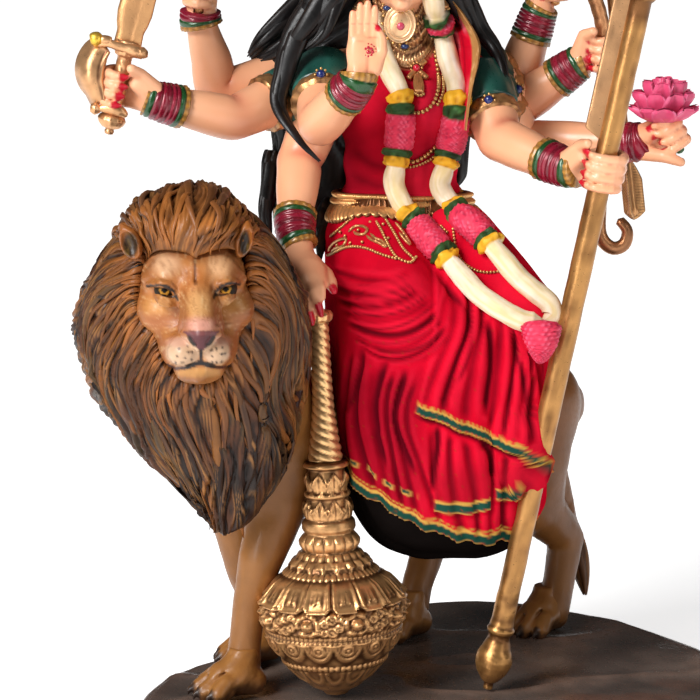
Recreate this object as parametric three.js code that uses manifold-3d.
// An eight-armed Durga seated side-saddle on a walking lion: a painted resin cast on a rock base.
// Millimetres, Z up. She faces -Y, and the origin is the middle of the base's flat underside.
// The lion, the goddess and each thing that she holds are castings of their own, set on the base.
import * as THREE from "three";
import { mergeVertices } from "three/addons/utils/BufferGeometryUtils.js";
import Module from "manifold-3d";

const wasm = await Module();
wasm.setup();

// Driving dimensions
const figureHeight = 280; // from the base's top to the tip of her crown
const baseThickness = 14;
const baseLength = 198; // along X
const baseWidth = 172; // along Y
const baseRelief = 1.6; // height of the soft ridges on the rock
const castingGap = 0.35; // between castings that touch
const maceHeadRadius = 21.5;
const maceGripRadius = 3;
const tridentShaftRadius = 3.6;
const tridentHeight = 296; // from the base's top to the middle prong's tip
const swordGripRadius = 2.2;
const swordLength = 96; // from the pommel to the point
const bladeWidth = 11;
const discusRadius = 13;
const discusThickness = 3;
const lotusRadius = 12.5;
const lotusStemRadius = 1.5;
const bowStaveRadius = 2.2;
const arrowRadius = 1.4;
const conchLength = 24;
const conchRadius = 7;
const pegRadius = 1.5; // of the pins under the discus and the conch

// The living forms keep their proportions as shares of the figure's height: a point is written in
// two-hundred-and-eightieths of it, with z measured from the base's top.
const share = figureHeight / 280;
const at = (x, y, z) => new THREE.Vector3(x * share, y * share, baseThickness + z * share);
const along = (a, b, t) => a.clone().lerp(b, t);
const TURN = 2 * Math.PI;

// A closed surface through rings that hold equally many points, with a point to close each end.
function ringSolid(rings, first, last) {
  const count = rings[0].length;
  const points = [first, ...rings.flat(), last];
  const triangles = [];
  const vertex = (ring, side) => 1 + ring * count + (side % count);
  for (let side = 0; side < count; side++) {
    triangles.push(0, vertex(0, side + 1), vertex(0, side));
    for (let ring = 0; ring + 1 < rings.length; ring++) {
      const [a, b] = [vertex(ring, side), vertex(ring, side + 1)];
      const [c, d] = [vertex(ring + 1, side), vertex(ring + 1, side + 1)];
      triangles.push(a, b, c, b, d, c);
    }
    triangles.push(points.length - 1, vertex(rings.length - 1, side), vertex(rings.length - 1, side + 1));
  }
  const geometry = new THREE.BufferGeometry().setFromPoints(points);
  geometry.setIndex(triangles);
  return solid(geometry);
}

// A three.js geometry as a manifold solid that faces outwards.
function solid(geometry) {
  geometry.deleteAttribute("normal");
  geometry.deleteAttribute("uv");
  const merged = mergeVertices(geometry, 1e-4);
  const vertProperties = merged.attributes.position.array;
  const triVerts = new Uint32Array(merged.index.array);
  const made = new wasm.Manifold(new wasm.Mesh({ numProp: 3, vertProperties, triVerts }));
  if (made.volume() > 0) return made;
  triVerts.reverse();
  return new wasm.Manifold(new wasm.Mesh({ numProp: 3, vertProperties, triVerts }));
}

const fuse = (...solids) => solids.flat().reduce((whole, piece) => whole.add(piece));

// A ball, squashed to three radii and turned.
function ball(centre, radii, turn = [0, 0, 0], across = 10, up = 7) {
  const geometry = new THREE.SphereGeometry(1, across, up);
  geometry.rotateX(Math.PI / 2);
  geometry.scale(...radii.map((radius) => radius * share));
  geometry.applyMatrix4(new THREE.Matrix4().makeRotationFromEuler(new THREE.Euler(...turn, "ZYX")));
  geometry.translate(centre.x, centre.y, centre.z);
  return solid(geometry);
}

// A tube through points with a radius at each, in shares of the height or as they are, domed at both ends.
function tube(points, radii, { sides = 8, scale = share, dome = 0.5, flat = 1, wide = null } = {}) {
  let normal = wide ? wide.clone() : new THREE.Vector3(0.31, -0.83, 0.46);
  const tangents = points.map((point, i) => {
    const before = points[Math.max(i - 1, 0)];
    const after = points[Math.min(i + 1, points.length - 1)];
    return after.clone().sub(before).normalize();
  });
  const rings = points.map((point, i) => {
    normal = normal.clone().addScaledVector(tangents[i], -normal.dot(tangents[i])).normalize();
    const other = tangents[i].clone().cross(normal);
    return Array.from({ length: sides }, (_, side) => {
      const angle = (TURN * side) / sides;
      const radius = radii[i] * scale;
      return point.clone()
        .addScaledVector(normal, Math.cos(angle) * radius)
        .addScaledVector(other, Math.sin(angle) * radius * flat);
    });
  });
  const end = points.length - 1;
  const first = points[0].clone().addScaledVector(tangents[0], -radii[0] * scale * dome);
  const last = points[end].clone().addScaledVector(tangents[end], radii[end] * scale * dome);
  return ringSolid(rings, first, last);
}

// A turned piece: [radius, height] pairs about Z, set with its foot at one point and its axis towards another.
function turned(profile, foot, towards, segments = 12) {
  const outline = [[0, profile[0][1]], ...profile, [0, profile[profile.length - 1][1]]];
  const geometry = new THREE.LatheGeometry(outline.map(([r, z]) => new THREE.Vector2(r, z)), segments);
  geometry.rotateX(Math.PI / 2);
  return solid(geometry.applyMatrix4(standing(foot, towards)));
}

// The matrix that takes Z to the line from foot to towards, with the origin at foot.
function standing(foot, towards) {
  const axis = towards.clone().sub(foot).normalize();
  const turn = new THREE.Quaternion().setFromUnitVectors(new THREE.Vector3(0, 0, 1), axis);
  return new THREE.Matrix4().compose(foot, turn, new THREE.Vector3(1, 1, 1));
}

// A flat plate: an outline in X and Z, thick along Y about zero.
function plate(outline, thickness, matrix) {
  const shape = new THREE.Shape(outline.map(([x, z]) => new THREE.Vector2(x, z)));
  const geometry = new THREE.ExtrudeGeometry(shape, { depth: thickness, bevelEnabled: false });
  geometry.translate(0, 0, -thickness / 2);
  geometry.rotateX(Math.PI / 2);
  return solid(geometry.applyMatrix4(matrix));
}

function named(name, made, material) {
  const mesh = made.getMesh();
  const geometry = new THREE.BufferGeometry();
  geometry.setAttribute("position", new THREE.BufferAttribute(mesh.vertProperties, 3));
  geometry.setIndex(new THREE.BufferAttribute(mesh.triVerts, 1));
  const flat = geometry.toNonIndexed();
  flat.computeVertexNormals();
  const part = new THREE.Mesh(flat, material);
  part.name = name;
  return part;
}

// The same piece a casting gap bigger on the sides where another casting meets it.
function grown(piece, directions) {
  return fuse(directions.map(([x, y, z]) => piece.translate([x * castingGap, y * castingGap, z * castingGap])));
}

// The rock base: a worn slab that runs with the lion's stride, notched behind its shoulder.
const baseOutline = new THREE.CatmullRomCurve3(
  [
    [-0.5, -0.24], [-0.45, -0.02], [-0.31, 0.15], [-0.14, 0.39], [0.02, 0.5], [0.18, 0.48],
    [0.32, 0.36], [0.45, 0.18], [0.5, -0.05], [0.42, -0.31], [0.22, -0.45], [-0.04, -0.48],
    [-0.28, -0.47], [-0.44, -0.38],
  ].map(([x, y]) => new THREE.Vector3(x * baseLength, y * baseWidth, 0)),
  true,
);

function rockBase() {
  const around = 32;
  const rim = baseOutline.getPoints(around).slice(0, around);
  // Each ring is the outline drawn in by a share, at a share of the thickness.
  const levels = [[0.97, 0], [1, 0.35], [0.99, 0.75], [0.94, 0.94], [0.8, 1], [0.55, 1], [0.28, 1]];
  const rings = levels.map(([draw, level], ring) =>
    rim.map((point, i) => {
      const [x, y] = [point.x * draw, point.y * draw];
      const chipped = ring > 0 && ring < 4 ? 1 + 0.012 * Math.sin(i * 2.3 + ring) : 1;
      const ridge = baseRelief * Math.sin(x * 0.055 + 0.9) * Math.cos(y * 0.07 - x * 0.02);
      const height = level * baseThickness + (level > 0.9 ? ridge * (ring - 2) * 0.25 : 0);
      return new THREE.Vector3(x * chipped, y * chipped, height);
    }),
  );
  return ringSolid(rings, new THREE.Vector3(0, 0, 0), new THREE.Vector3(0, 0, baseThickness + baseRelief * 0.6));
}

const base = rockBase();
const setOnBase = (piece) => piece.subtract(grown(base, [[0, 0, 1]]));

// The lion's stride: its body runs from front left to back right, and its head turns to face -Y.
const stride = new THREE.Vector3(0.815, 0.58, 0);
const strideAngle = Math.atan2(stride.y, stride.x);

function pawOf(x, y, size, turn) {
  const forward = new THREE.Vector3(-Math.cos(turn), -Math.sin(turn), 0);
  const across = new THREE.Vector3(Math.sin(turn), -Math.cos(turn), 0);
  const around = 14;
  // Each level is a height, how far the outline is drawn in and how far it slides back.
  const rings = [[0.4, 0.94, 0], [4, 1, 0.2], [8, 0.7, 2]].map(([z, draw, back]) =>
    Array.from({ length: around }, (_, i) => {
      const angle = (TURN * i) / around;
      const toe = Math.cos(angle) > 0.2 && i % 2 ? 1.12 : 0.98;
      const reach = 11.5 * size * draw * toe * Math.cos(angle) - back;
      const spread = 8.4 * size * draw * toe * Math.sin(angle);
      return at(x, y, z).addScaledVector(forward, reach * share).addScaledVector(across, spread * share);
    }),
  );
  return ringSolid(rings, at(x, y, 0.2), at(x, y, 10.6));
}

function lionBody() {
  const trunk = tube(
    [at(-64, -16, 74), at(-50, -5, 76), at(-28, 10, 74), at(-4, 26, 72), at(14, 38, 73), at(31, 49, 75), at(43, 57, 78)],
    [15, 20.5, 20, 18.5, 17.5, 18, 9],
    { sides: 10, flat: 1.12, wide: new THREE.Vector3(-0.58, 0.815, 0) },
  );
  const neck = tube([at(-54, -8, 84), at(-66, -26, 104), at(-74, -42, 122)], [20, 24, 22], { sides: 8 });
  return [trunk, neck];
}

function lionLegs() {
  const nearFront = tube(
    [at(-45, -12, 82), at(-51, -20, 60), at(-57, -25, 43), at(-60, -26, 30), at(-62, -27, 15), at(-63, -28, 6)],
    [13, 10, 7.4, 5.4, 5.4, 6.2],
    { sides: 7 },
  );
  const farFront = tube(
    [at(-60, 9, 80), at(-66, 4, 52), at(-63, 4, 33), at(-58, 8, 15), at(-58, 7, 5)],
    [12, 9, 6.8, 5.6, 6],
    { sides: 7 },
  );
  const nearHind = tube(
    [at(33, 43, 80), at(31, 39, 62), at(34, 42, 44), at(45, 49, 31), at(42, 46, 15), at(40, 44, 6)],
    [16, 14, 10, 6.6, 5.8, 6.2],
    { sides: 7 },
  );
  const farHind = tube(
    [at(18, 58, 76), at(1, 51, 58), at(-3, 49, 42), at(-1, 49, 31), at(-6, 43, 15), at(-8, 39, 6)],
    [15, 12.5, 8.5, 6.4, 5.6, 6],
    { sides: 7 },
  );
  return [
    nearFront, farFront, nearHind, farHind,
    pawOf(-66, -31, 1, strideAngle - 0.25),
    pawOf(-61, 5, 0.95, strideAngle),
    pawOf(35, 41, 1, strideAngle + 0.1),
    pawOf(-11, 36, 0.95, strideAngle),
  ];
}

// The tail hangs behind the near hind leg and ends in a tuft.
function lionTail() {
  return tube(
    [at(38, 57, 88), at(44, 66, 80), at(43, 71, 62), at(44, 73, 44), at(48, 73, 30), at(51, 71, 17), at(53, 70, 5)],
    [4, 3, 2.5, 2.5, 3.6, 4.4, 1.2],
    { sides: 6 },
  );
}

// Levels of the mane from the beard's tip to the crown: height, middle x and y, half-width and half-depth.
const maneLevels = [
  [60, -66.5, -43, 7, 6], [72, -68, -41, 17, 14], [86, -71.5, -38, 26, 21], [101, -75.5, -37, 33.5, 27],
  [117, -77, -38, 37, 29], [132, -77, -40, 34.5, 28], [145, -76.5, -42.5, 28, 24], [155.5, -76, -44.5, 19.5, 18],
  [162, -75.5, -45, 10, 9],
];

function lionMane() {
  const around = 30;
  const rings = maneLevels.map(([z, x, y, wide, deep], level) =>
    Array.from({ length: around }, (_, i) => {
      const angle = (TURN * i) / around;
      const lock = 1 + 0.035 * Math.sin(angle * 10 + level * 0.9);
      return at(x + wide * lock * Math.cos(angle), y + deep * lock * Math.sin(angle), z - 1.5 * Math.sin(angle * 10));
    }),
  );
  return ringSolid(rings, at(-66.5, -44, 55.5), at(-75.5, -45, 165.5));
}

function lionHead() {
  const face = ball(at(-73.5, -60, 133), [17.5, 19, 20.5], [0, 0, 0], 9, 6);
  const brow = [-1, 1].map((side) => ball(at(-73.5 + side * 8, -74, 142), [7, 4.5, 4.5], [0, 0, side * 0.3], 6, 4));
  const bridge = tube([at(-73.5, -72, 146), at(-72.5, -82, 132), at(-72, -87, 126)], [5.5, 5, 4.6], { sides: 6 });
  const muzzle = [-1, 1].map((side) => ball(at(-72 + side * 4.5, -83.5, 119.5), [5.8, 7, 5.6], [0, 0, 0], 6, 4));
  const chin = ball(at(-72, -79, 112), [6.5, 6, 4.6], [0, 0, 0], 6, 4);
  const ear = [-1, 1].map((side) =>
    ball(at(-76.5 + side * 18, -62, 151), [5.5, 3, 7.5], [0, side * 0.5, side * 0.5], 6, 4),
  );
  return [face, ...brow, bridge, ...muzzle, chin, ...ear];
}

const wholeLion = () => setOnBase(fuse(lionBody(), lionLegs(), lionTail(), lionMane(), lionHead()));

// Her arms: shoulder, elbow, wrist and grip, and the direction of what the hand closes on.
const arms = {
  sword: { joints: [at(-33, 26, 191), at(-65.5, 2, 179.8), at(-88, -8, 186)], grip: at(-101, -10, 190.5) },
  discus: { joints: [at(-32, 32, 193), at(-70.5, 25, 186), at(-76.5, 22, 208)], grip: at(-77, 20, 219) },
  blessing: { joints: [at(-37, 15, 191), at(-38, -14, 180), at(-26.8, -27, 194)], grip: at(-24.4, -28, 203) },
  mace: { joints: [at(-36, 20, 188), at(-45, 7, 165), at(-46, -11, 146)], grip: at(-39.8, -23.5, 129) },
  trident: { joints: [at(12, 15, 190), at(18.5, -2, 173.5), at(37, -22, 167)], grip: at(46.5, -31, 167.5) },
  lotus: { joints: [at(14, 28, 188), at(28, 34, 168.5), at(63, 18, 170)], grip: at(73.5, 13, 174) },
  bow: { joints: [at(12, 30, 191), at(27, 37, 180.5), at(45, 30, 194)], grip: at(53, 28, 198) },
  conch: { joints: [at(11, 32, 194), at(25, 42, 186), at(33, 40, 210)], grip: at(38, 38, 220) },
};

// An arm tapers from the shoulder to the wrist, where a stack of bangles stands a little proud of it.
function armOf({ joints: [shoulder, elbow, wrist] }) {
  const upper = [0, 0.55, 1].map((t) => along(shoulder, elbow, t));
  const fore = [0.44, 0.5, 0.58, 0.95, 1].map((t) => along(elbow, wrist, t));
  return tube([...upper, ...fore], [8.2, 7.8, 7.6, 6.4, 7.2, 6.6, 5.5, 6], { sides: 7, dome: 0.1 });
}

// A fist closes round the rod that it holds: four fingers one above another, and a palm back to the wrist.
function fistOf(arm, axis, rodRadius) {
  const wrist = arm.joints[2];
  const out = arm.grip.clone().sub(wrist);
  out.addScaledVector(axis, -out.dot(axis)).normalize();
  const front = axis.clone().cross(out);
  const radius = rodRadius + castingGap + 3.3 * share;
  const finger = 3.3 * share;
  const swells = [0.72, 0.98, 0.86, 1, 0.88, 1, 0.86, 0.94, 0.66];
  const rings = swells.map((swell, ring) => {
    const middle = arm.grip.clone().addScaledVector(axis, (ring - 4) * 0.5 * finger);
    return Array.from({ length: 7 }, (_, i) => {
      const angle = (TURN * i) / 7;
      return middle.clone()
        .addScaledVector(out, Math.cos(angle) * radius * swell)
        .addScaledVector(front, Math.sin(angle) * radius * swell);
    });
  });
  const end = (way) => arm.grip.clone().addScaledVector(axis, way * 2.1 * finger);
  const palm = tube([wrist, along(wrist, arm.grip, 0.5), arm.grip], [4.2, 5, 5.2], { sides: 5, wide: axis, flat: 0.8 });
  return [palm, ringSolid(rings, end(-1), end(1))];
}

// The hole through a fist, a casting gap bigger than the rod.
function bore(arm, axis, rodRadius) {
  const half = 9 * share;
  const radius = (rodRadius + castingGap) / Math.cos(Math.PI / 10);
  const from = arm.grip.clone().addScaledVector(axis, -half);
  return turned([[radius, 0], [radius, 2 * half]], from, arm.grip, 10);
}

// The right front hand is raised open, palm forward, with its fingers together.
function blessingHand({ joints: [, , wrist], grip }) {
  const up = new THREE.Vector3(0.05, 0.05, 1).normalize();
  const side = new THREE.Vector3(1, 0.12, 0);
  const palm = tube([wrist, along(wrist, grip, 0.6), grip.clone().addScaledVector(up, 5 * share)], [4.6, 6, 5.2], {
    wide: side, flat: 0.5,
  });
  const fingers = [-1.5, -0.5, 0.5, 1.5].map((place) => {
    const root = grip.clone().addScaledVector(up, 3 * share).addScaledVector(side, (place * 2.5 - 0.4) * share);
    const length = (15 - Math.abs(place + 0.3) * 1.8) * share;
    return tube([root, root.clone().addScaledVector(up, length)], [1.7, 1.3], { sides: 4 });
  });
  const thumb = tube(
    [wrist.clone().addScaledVector(side, 3 * share), grip.clone().addScaledVector(side, 6 * share),
      grip.clone().addScaledVector(side, 6.2 * share).addScaledVector(up, 7.5 * share)],
    [2.6, 2.5, 1.3],
    { sides: 5 },
  );
  return [palm, thumb, ...fingers];
}

// The lower right hand lies over the top of the mace, with its fingers down the grip.
function restingHand({ joints: [, , wrist], grip }) {
  const palm = tube([wrist, along(wrist, grip, 0.55), grip], [4.4, 5.4, 5], { sides: 8 });
  const fingers = [-1.5, -0.5, 0.5, 1.5].map((place) => {
    const root = grip.clone().add(new THREE.Vector3(place * 2.8, -3, 3.4).multiplyScalar(share));
    const knuckle = root.clone().add(new THREE.Vector3(0.4, -8.4, -3.4).multiplyScalar(share));
    const tip = knuckle.clone().add(new THREE.Vector3(1.4, 0, -7 + 1.2 * Math.abs(place)).multiplyScalar(share));
    return tube([root, knuckle, tip], [1.9, 1.7, 1.1], { sides: 4 });
  });
  return [palm, ...fingers];
}

// Torso, neck and breasts, with the girdle round the waist.
function torso() {
  const levels = [
    [144, -11, 14, 23, 17], [149, -12, 15, 22.5, 17.5], [154, -12, 15, 22, 17], [155.5, -12, 15, 19.5, 14],
    [178, -12.5, 16, 22, 15], [190, -12.5, 17, 27, 14.5], [197, -12.5, 18, 24, 11], [202, -12.5, 17, 9, 8],
    [212, -12.5, 15, 5.6, 6],
  ];
  const around = 11;
  const rings = levels.map(([z, x, y, wide, deep]) =>
    Array.from({ length: around }, (_, i) => {
      const angle = (TURN * i) / around;
      return at(x + wide * Math.cos(angle), y + deep * Math.sin(angle), z);
    }),
  );
  const breasts = [-1, 1].map((side) => ball(at(-12.5 + side * 9.5, 5, 183), [9, 8.5, 8.5], [0, 0, 0], 6, 5));
  return [ringSolid(rings, at(-10, 14, 136), at(-12.5, 15, 214)), ...breasts];
}

const sleeves = () => [
  tube([at(-30, 16, 193), at(-40, 14, 188), at(-45, 10, 181)], [10, 10.5, 9], { sides: 7 }),
  tube([at(-30, 24, 192), at(-44, 20, 189), at(-52, 14, 186)], [9, 9, 7.5], { sides: 7 }),
  tube([at(5, 16, 193), at(13, 15, 189), at(16.5, 10, 181)], [10, 10.5, 9], { sides: 7 }),
];

// The skirt: over the thighs and knees, then down the lion's near flank to a hem that climbs on the left.
// Levels: height, middle x and y, half-width, half-depth and depth of the folds.
const skirtLevels = [
  [42.5, 0, -13, 22, 15, 0.02], [50, 1, -14, 31, 21, 0.04], [58, 3, -15, 32, 23, 0.07], [72, 2, -14, 33.5, 25, 0.08],
  [90, 1.5, -11, 34.5, 27, 0.06], [106, 1.5, -8, 35, 29, 0.05], [119, 0, -4, 33.5, 32, 0.04],
  [131, -4, 3, 30.5, 30, 0.03], [142, -9, 10, 26, 21, 0.02], [150, -11.5, 14, 22, 16, 0],
];

function skirt() {
  const around = 32;
  const rings = skirtLevels.map(([z, x, y, wide, deep, fold], level) =>
    Array.from({ length: around }, (_, i) => {
      const angle = (TURN * i) / around;
      const wave = 1 + fold * Math.sin(angle * 8 + level * 0.35);
      const swing = level < 5 ? 1.6 * Math.min(level + 1, 5 - level) * Math.max(0, Math.cos(angle + 2.7)) : 0;
      const back = 0.11 * wide * Math.cos(angle); // the right knee lies further back
      return at(x + wide * wave * Math.cos(angle), y + back + deep * wave * Math.sin(angle), z + swing);
    }),
  );
  const knee = ball(at(24, -19, 117), [14, 15, 12], [0.3, 0, 0.5], 8, 6);
  return [ringSolid(rings, at(3, -10, 40), at(-12, 15, 156)), knee, overskirt()];
}

// The loose end of the sari falls over the left knee and ends in a slanting border.
function overskirt() {
  const across = 12;
  const side = (t, out, z) => {
    const wave = 1.1 * Math.sin(t * 16);
    return at(-6 + 42 * t, -33 - out + 11 * t * t - wave, z);
  };
  const levels = [[0, 98, 76], [1, 104, 84], [-1, 116, 106]];
  const rings = levels.map(([out, left, right]) => {
    const front = Array.from({ length: across }, (_, i) => {
      const t = i / (across - 1);
      return side(t, out, left + (right - left) * t);
    });
    const back = front.map((point) => point.clone().add(new THREE.Vector3(0, 12 * share, 0))).reverse();
    return [...front, ...back];
  });
  const middle = (ring) => ring.reduce((sum, p) => sum.add(p), new THREE.Vector3()).divideScalar(ring.length);
  return ringSolid(rings, middle(rings[0]), middle(rings[2]));
}

// The garland runs from the neck down both sides of the chest and loops over the left knee.
function garland() {
  const path = [
    at(-19, 8, 203), at(-20, 0, 196), at(-14.5, -3.5, 186), at(-13.5, -4, 172), at(-15, -2.5, 158), at(-12, -7, 146),
    at(-5, -19, 135), at(5, -30, 127), at(18, -38, 119), at(29, -37, 114.5), at(35, -29, 117), at(28, -17, 127),
    at(18, -6, 137), at(6, 0, 146), at(1, 0.5, 158), at(3.5, 1, 172), at(5, 0, 186), at(0, 4, 198), at(-4, 9, 204),
  ];
  const plump = [0, 1, 1, 0, 1, 0, 1, 0, 0, 0, 0, 0, 0, 1, 0, 1, 0, 0, 0];
  const beads = tube(path, path.map((_, i) => 4 + 0.7 * plump[i]), { sides: 6 });
  const tassel = tube([at(31, -38, 113), at(32, -38, 106), at(33, -36, 97)], [3.5, 4.2, 1.4], { sides: 6 });
  return [beads, tassel];
}

// Her face is a plain, calm one; the crown rises in tiers above it.
function head() {
  const levels = [
    [213.5, 6, 4.4, 4.4], [218, 6.5, 8, 8], [225, 8, 10.4, 10.6], [232, 11, 11.4, 12.6], [239, 12, 10.8, 12],
  ];
  const around = 11;
  const rings = levels.map(([z, y, wide, deep]) =>
    Array.from({ length: around }, (_, i) => {
      const angle = (TURN * i) / around;
      return at(-12.5 + wide * Math.cos(angle), y + deep * Math.sin(angle), z);
    }),
  );
  const nose = tube([at(-12.5, 0.2, 229), at(-12.5, -2.6, 223.5)], [0.9, 1.5], { sides: 4 });
  const ears = [-1, 1].map((side) => ball(at(-12.5 + side * 11, 12, 224), [2, 3, 5], [0, 0, 0], 4, 4));
  const crown = [
    [12.4, 0], [14.2, 4], [12.8, 8], [13, 13], [11, 18], [11.6, 21], [8.6, 27], [9, 30], [4.6, 37], [0.8, 44],
  ].map(([radius, z]) => [radius * share, z * share]);
  return [
    ringSolid(rings, at(-12.5, 5, 212), at(-12.5, 13, 244)), nose, ...ears,
    turned(crown, at(-12.5, 14, 236), at(-12.5, 14.6, 280), 11),
  ];
}

// The hair falls behind her to the waist, with one lock over the right shoulder.
function hair() {
  const levels = [
    [138, -37, 31, 15, 5], [150, -22, 32, 31, 7], [170, -22, 31, 32, 9], [186, -22.5, 31, 35, 11], [198, -24, 30, 36, 12],
    [210, -17, 29, 28, 13], [225, -13, 23, 15, 14], [240, -12.5, 19, 12, 12],
  ];
  const around = 20;
  const rings = levels.map(([z, x, y, wide, deep], level) =>
    Array.from({ length: around }, (_, i) => {
      const angle = (TURN * i) / around;
      const lock = 1 + 0.05 * Math.sin(angle * 7 + level * 0.8);
      return at(x + wide * lock * Math.cos(angle), y + deep * lock * Math.sin(angle), z);
    }),
  );
  const frontLock = tube(
    [at(-26, 12, 212), at(-38, 6, 201), at(-47, 4, 190), at(-48, 2, 176), at(-42, -2, 167), at(-37, -4, 160)],
    [5, 6, 4.4, 3.6, 3, 1.2],
    { sides: 5 },
  );
  return [ringSolid(rings, at(-40, 31, 134), at(-12.5, 18, 246)), frontLock];
}

// What she holds. Each rod's line is fixed by the hand that grips it.
const maceTop = at(-38.6, -26, 123.5);
const maceFoot = at(-33, -31, 0.6);
const tridentFoot = at(13.8, -28, 1);
const tridentAxis = arms.trident.grip.clone().sub(tridentFoot).normalize();
const swordAxis = new THREE.Vector3(0.22, -0.03, 0.97).normalize();
const lotusAxis = new THREE.Vector3(-0.5, 0, 0.87).normalize();
const bowAxis = new THREE.Vector3(-0.05, -0.05, 1).normalize();
const upright = new THREE.Vector3(0, 0, 1);

// The mace stands on the base: a gadrooned and banded head under a roped grip.
function mace(gap = 0) {
  const length = maceTop.distanceTo(maceFoot);
  const r = maceHeadRadius;
  const g = maceGripRadius;
  const head = [
    [0.28, 0], [0.8, 0.07], [0.95, 0.15], [1.02, 0.22], [1.02, 0.25], [0.93, 0.27], [0.62, 0.345], [0.42, 0.4],
    [0.42, 0.43], [0.36, 0.47], [0.27, 0.56], [0.27, 0.6],
  ].map(([radius, z]) => [radius * r, z * length]);
  const rope = Array.from({ length: 7 }, (_, i) => {
    const taper = 1.45 - 0.45 * (i / 6);
    return [g * taper * (i % 2 ? 1.12 : 0.96), length * (0.62 + 0.048 * i)];
  });
  const knob = [[g * 1.7, 0.95], [g * 1.7, 0.98], [g * 0.7, 1]].map(([radius, z]) => [radius, z * length + gap]);
  const profile = [...head, ...rope, ...knob].map(([radius, z]) => [radius + gap, z]);
  return turned(profile, maceFoot, maceTop, 12);
}

// The trident: a tapered foot on a peg, a round shaft with a flat rib up its side, and three prongs.
function trident(gap = 0) {
  const r = tridentShaftRadius;
  const length = (tridentHeight - 1) / tridentAxis.z;
  const profile = [
    [0.38 * r, 0], [0.4 * r, 4], [1.5 * r, 9], [1.65 * r, 13], [1 * r, 24], [1.25 * r, 26.5], [r, 32],
    [0.94 * r, length * 0.74], [1.5 * r, length * 0.75], [1.1 * r, length * 0.77], [1.6 * r, length * 0.79],
    [1 * r, length * 0.81], [0.6 * r, length * 0.84], [0.5 * r, length * 0.96], [0.08 * r, length],
  ].map(([radius, z]) => [radius + gap, z]);
  const top = tridentFoot.clone().addScaledVector(tridentAxis, length);
  const shaft = turned(profile, tridentFoot, top, 8);
  const matrix = standing(tridentFoot, top);
  const rib = plate(
    [[-2.3 * r - gap, length * 0.6], [-1.9 * r, length * 0.585], [0, length * 0.585], [0, length * 0.77], [-2.1 * r, length * 0.77]],
    0.5 * r + 2 * gap,
    matrix,
  );
  const prong = (side) =>
    tube(
      [[0, 0.815], [3.6, 0.828], [5.2, 0.86], [4.9, 0.9], [3.9, 0.94], [4.4, 0.965]].map(([x, z]) =>
        new THREE.Vector3(side * x * r, 0, z * length).applyMatrix4(matrix),
      ),
      [0.8, 0.75, 0.7, 0.8, 0.65, 0.12],
      { sides: 5, scale: r },
    );
  return fuse(shaft, rib, prong(-1), prong(1));
}

// The sword: a tulwar hilt with a broad knuckle guard, and a blade that swells and curves to its point.
function sword() {
  const gripLength = 21 * share;
  const foot = arms.sword.grip.clone().addScaledVector(swordAxis, -gripLength * 0.5);
  const tip = foot.clone().addScaledVector(swordAxis, swordLength);
  const matrix = standing(foot, tip);
  const w = bladeWidth;
  const r = swordGripRadius;
  const hilt = turned(
    [[0.5 * r, -3], [1.8 * r, -1.5], [2.6 * r, 0.5], [r, 3], [r, gripLength - 0.5], [2.6 * r, gripLength],
      [2.4 * r, gripLength + 3], [1.3 * r, gripLength + 4.5]],
    foot, tip, 8,
  );
  const quillon = tube(
    [[-9, 1.5], [-4, 1], [3, 1], [5.5, 3]].map(([x, z]) => new THREE.Vector3(x, 0, gripLength + z).applyMatrix4(matrix)),
    [2.4, 1.9, 1.9, 2.5],
    { sides: 5, scale: 1 },
  );
  const guard = tube(
    [[-4, 0.5], [-9.5, 4], [-12, 11], [-10.5, 18], [-7, 23]].map(([x, z]) =>
      new THREE.Vector3(x, -1, z * share).applyMatrix4(matrix),
    ),
    [1.6, 2.6, 3.2, 3, 2.4],
    { sides: 5, scale: 1 },
  );
  const reach = swordLength - gripLength;
  const edge = (side) => [[0.36, 0.02], [0.3, 0.1], [0.5, 0.24], [0.4, 0.36], [0.46, 0.6], [0.5, 0.78]].map(([x, z]) => [
    side * x * w + 0.9 * w * z * z, gripLength + z * reach,
  ]);
  const point = [[1.15 * w, gripLength + reach]];
  const blade = plate([...edge(1), ...point, ...edge(-1).reverse()], 0.26 * w, matrix);
  return fuse(hilt, quillon, guard, blade);
}

// The discus: a toothed rim and a stepped hub over the pin that the hand holds.
function discus() {
  const middle = arms.discus.grip.clone().add(new THREE.Vector3(0, 0, discusRadius + 8 * share));
  const teeth = 12;
  const outline = Array.from({ length: teeth * 2 }, (_, i) => {
    const angle = (TURN * i) / (teeth * 2);
    const radius = discusRadius * (i % 2 ? 0.88 : 1);
    return [radius * Math.cos(angle), radius * Math.sin(angle)];
  });
  const disc = plate(outline, discusThickness * 0.7, new THREE.Matrix4().makeTranslation(middle.x, middle.y, middle.z));
  const hub = turned(
    [[0.62, -0.14], [0.62, 0.07], [0.3, 0.12], [0.2, 0.2]].map(([radius, z]) => [radius * discusRadius, z * discusRadius]),
    middle, middle.clone().add(new THREE.Vector3(0, -1, 0)), 10,
  );
  return fuse(disc, hub, pinUnder(arms.discus, middle));
}

const pinUnder = (arm, top) => {
  const foot = arm.grip.clone().add(new THREE.Vector3(0, 0, -8 * share));
  return turned([[pegRadius, 0], [pegRadius, top.z - foot.z]], foot, foot.clone().setZ(top.z), 8);
};

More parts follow.
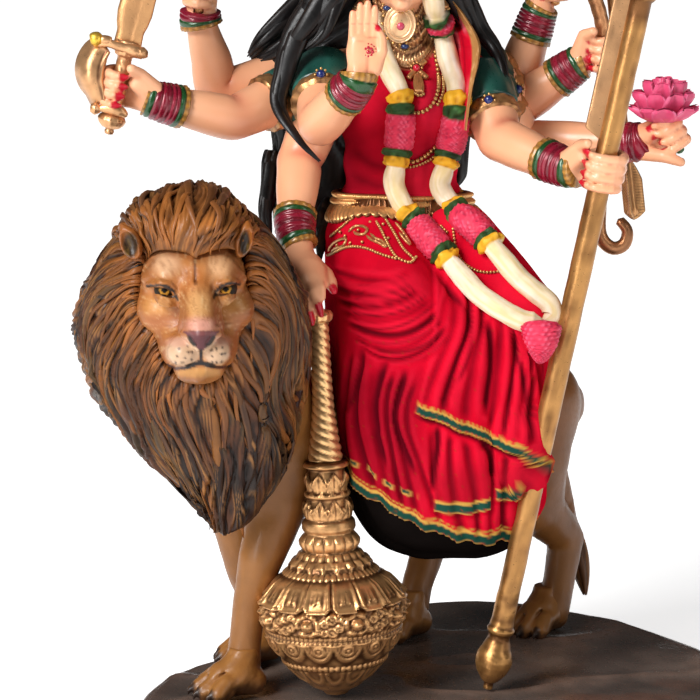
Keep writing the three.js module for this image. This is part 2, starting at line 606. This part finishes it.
// The lotus: a whorl of petals round a bud, on a stem.
function lotus() {
  const foot = arms.lotus.grip.clone().addScaledVector(lotusAxis, -8 * share);
  const heart = arms.lotus.grip.clone().addScaledVector(lotusAxis, 9.5 * share);
  const stem = tube([foot, heart], [lotusStemRadius, lotusStemRadius], { sides: 6, scale: 1 });
  const petals = 7;
  // Levels: height and radius as shares of the flower's radius, and how far the petal tips stand out.
  const rings = [[0, 0.25, 0], [0.3, 0.8, 0.05], [0.62, 0.95, 0.12], [0.66, 0.66, 0.1], [0.9, 0.5, 0.05], [1.2, 0.2, 0]].map(
    ([z, radius, tip]) =>
      Array.from({ length: petals * 2 }, (_, i) => {
        const angle = (Math.PI * i) / petals;
        const out = (radius + (i % 2 ? tip : -tip)) * lotusRadius;
        const rise = (z + (i % 2 ? tip : -tip)) * lotusRadius;
        return heart.clone().add(new THREE.Vector3(out * Math.cos(angle), out * Math.sin(angle), rise));
      }),
  );
  const up = (z) => heart.clone().add(new THREE.Vector3(0, 0, z * lotusRadius));
  return fuse(stem, ringSolid(rings, up(-0.15), up(1.3)));
}

// The bow: one limb above the hand and one below, which ends in a scroll.
function bow() {
  const grip = arms.bow.grip;
  const route = [
    [6, 4, -55], [9, 4, -59], [8, 4, -63.5], [4, 4, -64.5], [0.3, 4.5, -60], [0, 6, -49], [-1, 7.5, -36], [-1.5, 7, -24],
    [0.45, 0.45, -9], [-0.45, -0.45, 9], [-5, -2, 26], [-4, -4, 46], [2, -6, 62], [8, -7, 70], [10, -7, 77], [6, -7, 80],
  ];
  const radii = [0.9, 1, 1, 1.05, 1.15, 1.3, 1.2, 1.1, 1, 1, 1.1, 1.1, 1, 0.9, 0.8, 0.6];
  const points = route.map(([x, y, z]) => grip.clone().add(new THREE.Vector3(x, y, z).multiplyScalar(share)));
  return tube(points, radii, { sides: 7, scale: bowStaveRadius });
}

// The arrow is held against the bow, with its flight below the hand and its head above.
function arrow() {
  const grip = arms.bow.grip.clone().add(new THREE.Vector3(bowStaveRadius + arrowRadius + 1, 3.4, 0));
  const foot = grip.clone().add(new THREE.Vector3(6.2, -4, -54).multiplyScalar(share));
  const tip = grip.clone().add(grip.clone().sub(foot));
  const length = foot.distanceTo(tip);
  const shaft = turned([[arrowRadius, 0], [arrowRadius, length - 13], [arrowRadius * 2.6, length - 12], [0.2, length]], foot, tip, 8);
  const flight = plate([[-3.4, 0], [-2, 20], [2, 20], [3.4, 0]], arrowRadius, standing(foot, tip));
  return fuse(shaft, flight);
}

// The conch: a whorled shell on its narrow end, over a pin in the hand.
function conch() {
  const foot = arms.conch.grip.clone().add(new THREE.Vector3(0, 0, 8 * share));
  const profile = [[0.26, 0], [0.36, 0.16], [0.75, 0.4], [1, 0.6], [0.86, 0.7], [0.6, 0.8], [0.3, 0.92], [0.04, 1]];
  const shell = turned(
    profile.map(([radius, z]) => [radius * conchRadius, z * conchLength]),
    foot, foot.clone().add(new THREE.Vector3(0.2, -0.12, 1)), 10,
  );
  return fuse(shell, pinUnder(arms.conch, foot.clone().add(new THREE.Vector3(0, 0, 4))));
}

const lion = wholeLion().subtract(mace(castingGap));
const held = {
  mace: setOnBase(mace()),
  trident: setOnBase(trident()),
  sword: sword(),
  discus: discus(),
  lotus: lotus(),
  bow: bow(),
  conch: conch(),
};
const everyWay = [[1, 0, 0], [-1, 0, 0], [0, 1, 0], [0, -1, 0], [0, 0, 1], [0, 0, -1]];
held.arrow = arrow().subtract(grown(held.bow, everyWay));

const goddess = [
  fuse(
    torso(), sleeves(), skirt(), garland(), head(), hair(),
    Object.values(arms).map(armOf),
    fistOf(arms.sword, swordAxis, swordGripRadius),
    fistOf(arms.discus, upright, pegRadius),
    fistOf(arms.trident, tridentAxis, tridentShaftRadius),
    fistOf(arms.lotus, lotusAxis, lotusStemRadius),
    fistOf(arms.bow, bowAxis, bowStaveRadius),
    fistOf(arms.conch, upright, pegRadius),
    blessingHand(arms.blessing),
    restingHand(arms.mace),
  ),
  bore(arms.sword, swordAxis, swordGripRadius),
  bore(arms.discus, upright, pegRadius),
  bore(arms.lotus, lotusAxis, lotusStemRadius),
  bore(arms.bow, bowAxis, bowStaveRadius),
  bore(arms.conch, upright, pegRadius),
  mace(castingGap),
  trident(castingGap),
  grown(held.arrow, everyWay),
  grown(lion, [[0.7, -0.8, 0.8], [-0.4, 0.9, 0.8]]),
].reduce((whole, cutter) => whole.subtract(cutter));

const paint = (colour, roughness, metalness = 0) => new THREE.MeshStandardMaterial({ color: colour, roughness, metalness });
const gold = paint("#a9803f", 0.35, 0.8);

const group = new THREE.Group();
group.add(
  named("rock_base", base, paint("#3a342f", 0.5)),
  named("lion", lion, paint("#a06a35", 0.5)),
  named("goddess", goddess, paint("#c01030", 0.4)),
  named("mace", held.mace, gold),
  named("trident", held.trident, gold),
  named("sword", held.sword, gold),
  named("discus", held.discus, gold),
  named("lotus", held.lotus, paint("#e0406f", 0.45)),
  named("bow", held.bow, gold),
  named("arrow", held.arrow, gold),
  named("conch", held.conch, paint("#efe3d8", 0.4)),
);
export default group;
